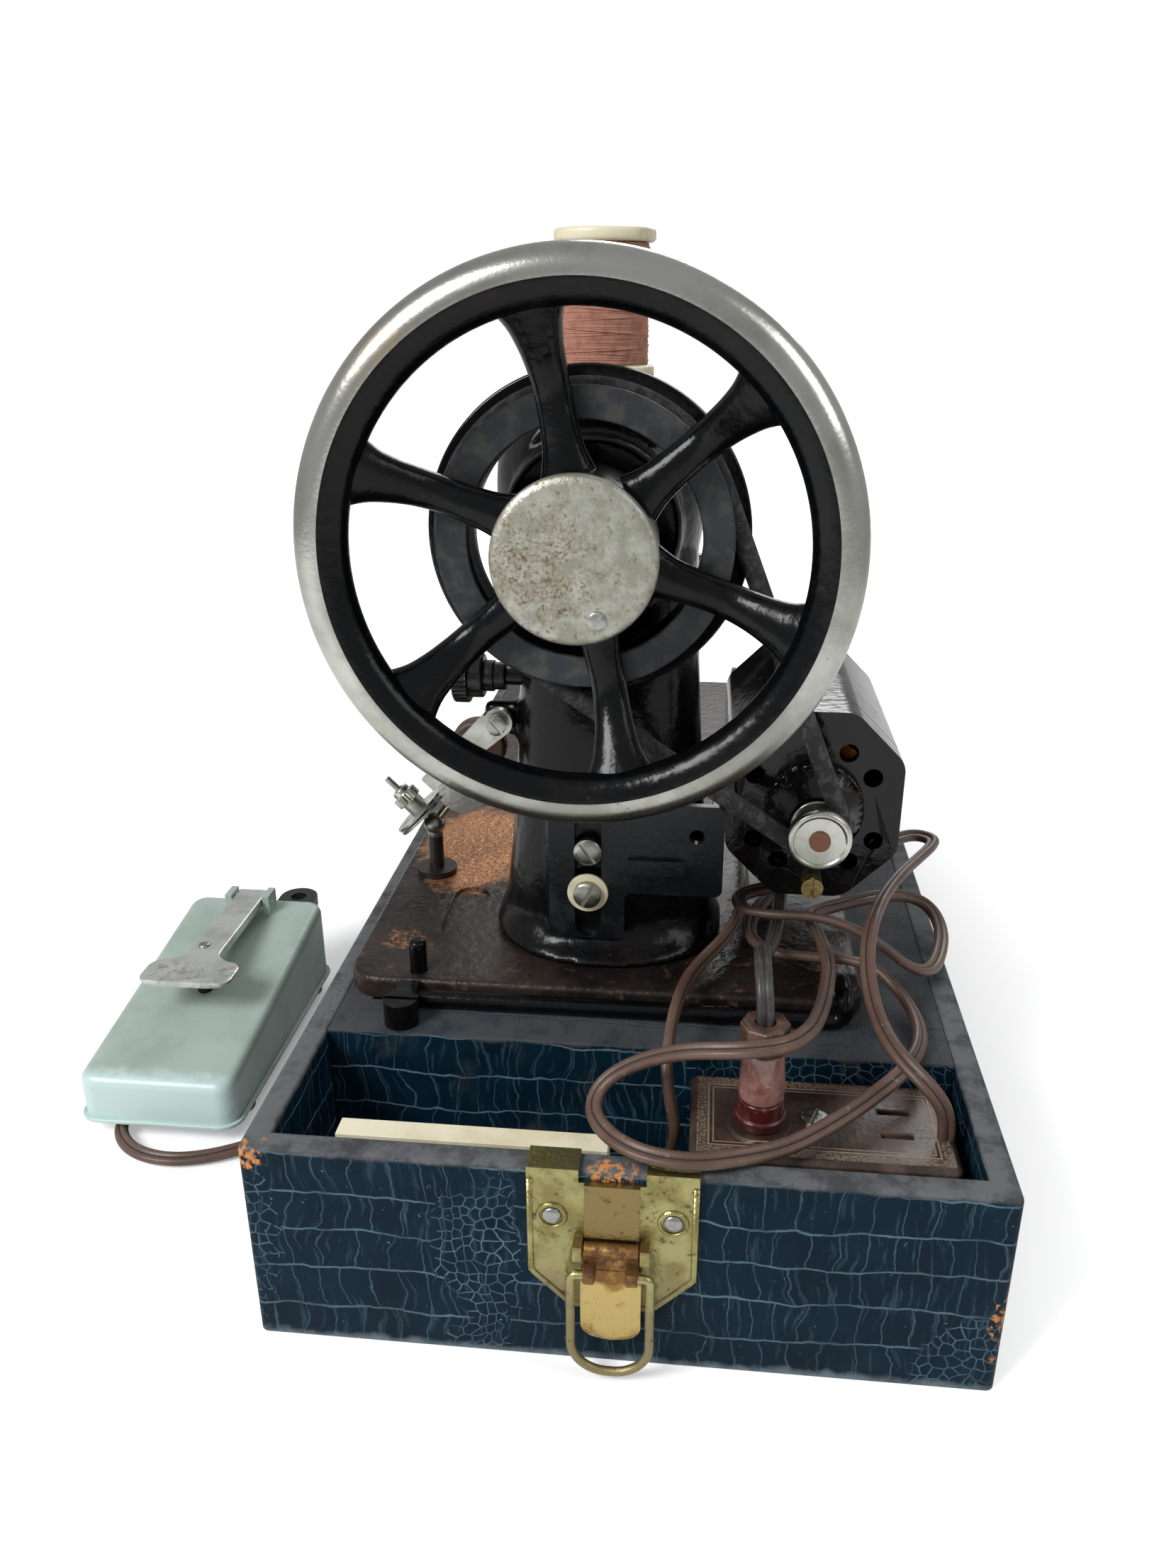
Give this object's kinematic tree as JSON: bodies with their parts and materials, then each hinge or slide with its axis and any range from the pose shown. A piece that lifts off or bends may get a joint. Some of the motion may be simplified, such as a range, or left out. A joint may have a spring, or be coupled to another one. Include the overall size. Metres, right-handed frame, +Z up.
{
  "type": "sewing machine with case",
  "caption": "Portable electric sewing machine in the open lower half of its latched carrying case, with belt motor, leads and foot controller.",
  "frame": {"origin": "centre of the case's underside", "axes": "+Y along the machine from the handwheel to the needle end, +Z up, +X away from the operator's side"},
  "size_m": [0.3217, 0.5691, 0.312],
  "materials": {
    "case_covering": "embossed dark blue covering",
    "worn_wood": "worn, grey",
    "latch_brass": "worn",
    "rivet_steel": "worn",
    "bakelite": "brown, moulded",
    "card": "cream",
    "plug_plastic": "dark red",
    "japan": "gloss",
    "nickel": "worn nickel",
    "dark_steel": "oiled",
    "bright_steel": "machined",
    "motor_black": "gloss",
    "bracket_paint": "gloss",
    "belt_rubber": "matt",
    "oil_brass": "polished",
    "spool_plastic": "cream",
    "thread": "brown cotton",
    "black_plastic": "gloss",
    "winder_brown": "matt",
    "controller_paint": "grey-green enamel",
    "foot_rubber": "matt",
    "cord_sheath": "brown",
    "lead_sheath": "grey"
  },
  "bodies": {
    "machine": {"case_walls": "case_covering", "case_floor": "worn_wood", "tray_partition": "case_covering", "bed_rails": "worn_wood", "latch_plate": "latch_brass", "latch_rivets": "rivet_steel", "terminal_block": "bakelite", "block_screw": "nickel", "instruction_card": "card", "connector_plug": "plug_plastic", "bed": "japan", "corner_pin": "japan", "throat_plate": "nickel", "hold_down_bar": "japan", "arm": "japan", "face_plate": "nickel", "shaft_bushes": "oil_brass", "drive_belt": "belt_rubber", "motor_body": "motor_black", "motor_end_plate": "motor_black", "oil_cap": "oil_brass", "motor_bracket": "bracket_paint", "bracket_screws": "nickel", "tension_unit": "nickel", "spool_pin": "nickel", "controller_shell": "controller_paint", "controller_base": "controller_paint", "controller_feet": "foot_rubber", "mains_cord": "cord_sheath", "control_cord": "cord_sheath", "motor_lead": "lead_sheath", "mains_coil": "cord_sheath", "mains_plug": "bakelite"},
    "wheel": {"handwheel": "japan", "belt_pulley": "japan", "main_shaft": "bright_steel"},
    "clutch": {"clutch_disc": "nickel", "clutch_screw": "nickel"},
    "rotor": {"armature": "dark_steel", "motor_pulley": "nickel"},
    "hook": {"hook_shaft": "dark_steel"},
    "needle_slide": {"needle_bar": "bright_steel", "needle": "bright_steel"},
    "take_up": {"take_up_lever": "nickel"},
    "presser": {"presser_bar": "bright_steel", "presser_foot": "nickel"},
    "lifter": {"lifter_lever": "nickel"},
    "feed": {"feed_dog": "bright_steel"},
    "stitch_dial": {"stitch_knob": "black_plastic"},
    "nut": {"tension_nut": "nickel"},
    "winder": {"winder_frame": "nickel"},
    "winder_pulley": {"winder_wheel": "winder_brown"},
    "spool": {"thread_spool": "spool_plastic", "spool_thread": "thread"},
    "lever": {"latch_lever": "latch_brass"},
    "bail": {"latch_bail": "latch_brass"},
    "post": {"bar_post": "japan"},
    "slide": {"slide_plate": "nickel"},
    "treadle": {"pedal": "bright_steel"},
    "push_rod": {"plunger": "black_plastic"}
  },
  "joints": [
    {"name": "wheel_spin", "type": "hinge", "parent": "machine", "child": "wheel", "pos_m": [-0.0175, -0.165, 0.2264], "axis": [0, 1, 0], "continuous": true},
    {"name": "clutch_turn", "type": "hinge", "parent": "wheel", "child": "clutch", "pos_m": [-0.0175, -0.171, 0.2264], "axis": [0, 1, 0], "range_deg": [0, 60]},
    {"name": "motor_spin", "type": "hinge", "parent": "machine", "child": "rotor", "pos_m": [0.056, -0.138, 0.1355], "axis": [0, 1, 0], "continuous": true},
    {"name": "hook_spin", "type": "hinge", "parent": "machine", "child": "hook", "pos_m": [-0.0175, 0.1, 0.038], "axis": [0, 1, 0], "continuous": true},
    {"name": "needle_stroke", "type": "slide", "parent": "machine", "child": "needle_slide", "axis": [0, 0, 1], "range_m": [-0.03, 0]},
    {"name": "take_up_swing", "type": "hinge", "parent": "machine", "child": "take_up", "pos_m": [-0.005, 0.15, 0.234], "axis": [0, -1, 0], "range_deg": [0, 30]},
    {"name": "presser_lift", "type": "slide", "parent": "machine", "child": "presser", "axis": [0, 0, 1], "range_m": [0, 0.006]},
    {"name": "lifter_swing", "type": "hinge", "parent": "machine", "child": "lifter", "pos_m": [0.013, 0.155, 0.16], "axis": [0, -1, 0], "range_deg": [0, 80]},
    {"name": "feed_stroke", "type": "slide", "parent": "machine", "child": "feed", "axis": [1, 0, 0], "range_m": [-0.0015, 0.0015]},
    {"name": "stitch_turn", "type": "hinge", "parent": "machine", "child": "stitch_dial", "pos_m": [-0.06, -0.1, 0.172], "axis": [1, 0, 0], "range_deg": [-135, 135]},
    {"name": "nut_turn", "type": "hinge", "parent": "machine", "child": "nut", "pos_m": [-0.0865, -0.062, 0.0985], "axis": [-0.7071, 0, 0.7071], "range_deg": [-180, 180]},
    {"name": "winder_swing", "type": "hinge", "parent": "machine", "child": "winder", "pos_m": [-0.0515, -0.099, 0.157], "axis": [0, 1, 0], "range_deg": [0, 12]},
    {"name": "winder_spin", "type": "hinge", "parent": "winder", "child": "winder_pulley", "pos_m": [-0.0615, -0.099, 0.143], "axis": [0, 1, 0], "continuous": true},
    {"name": "spool_spin", "type": "hinge", "parent": "machine", "child": "spool", "pos_m": [-0.0175, -0.08, 0.29], "axis": [0, 0, 1], "continuous": true},
    {"name": "latch_swing", "type": "hinge", "parent": "machine", "child": "lever", "pos_m": [-0.0015, -0.2286, 0.045], "axis": [-1, 0, 0], "range_deg": [0, 70]},
    {"name": "bail_swing", "type": "hinge", "parent": "lever", "child": "bail", "pos_m": [-0.0015, -0.232, 0.039], "axis": [-1, 0, 0], "range_deg": [0, 105]},
    {"name": "post_turn", "type": "hinge", "parent": "machine", "child": "post", "pos_m": [-0.0775, -0.158, 0.074], "axis": [0, 0, 1], "range_deg": [0, 90]},
    {"name": "slide_plate_pull", "type": "slide", "parent": "machine", "child": "slide", "axis": [0, 1, 0], "range_m": [0, 0.03]},
    {"name": "pedal_press", "type": "hinge", "parent": "machine", "child": "treadle", "pos_m": [-0.1785, -0.035, 0.046], "axis": [1, 0, 0], "range_deg": [0, 8], "stiffness_Nm_per_rad": 6, "springref_deg": -2.86},
    {"name": "plunger_push", "type": "slide", "parent": "machine", "child": "push_rod", "axis": [0, 0, 1], "range_m": [-0.0083, 0]}
  ],
  "couplings": [
    {"joint": "motor_spin", "follows": "wheel_spin", "ratio": 5.3125},
    {"joint": "hook_spin", "follows": "wheel_spin", "ratio": 2},
    {"joint": "lifter_swing", "follows": "presser_lift", "rad_per_m": 232.7},
    {"joint": "plunger_push", "follows": "pedal_press", "m_per_rad": -0.058}
  ]
}
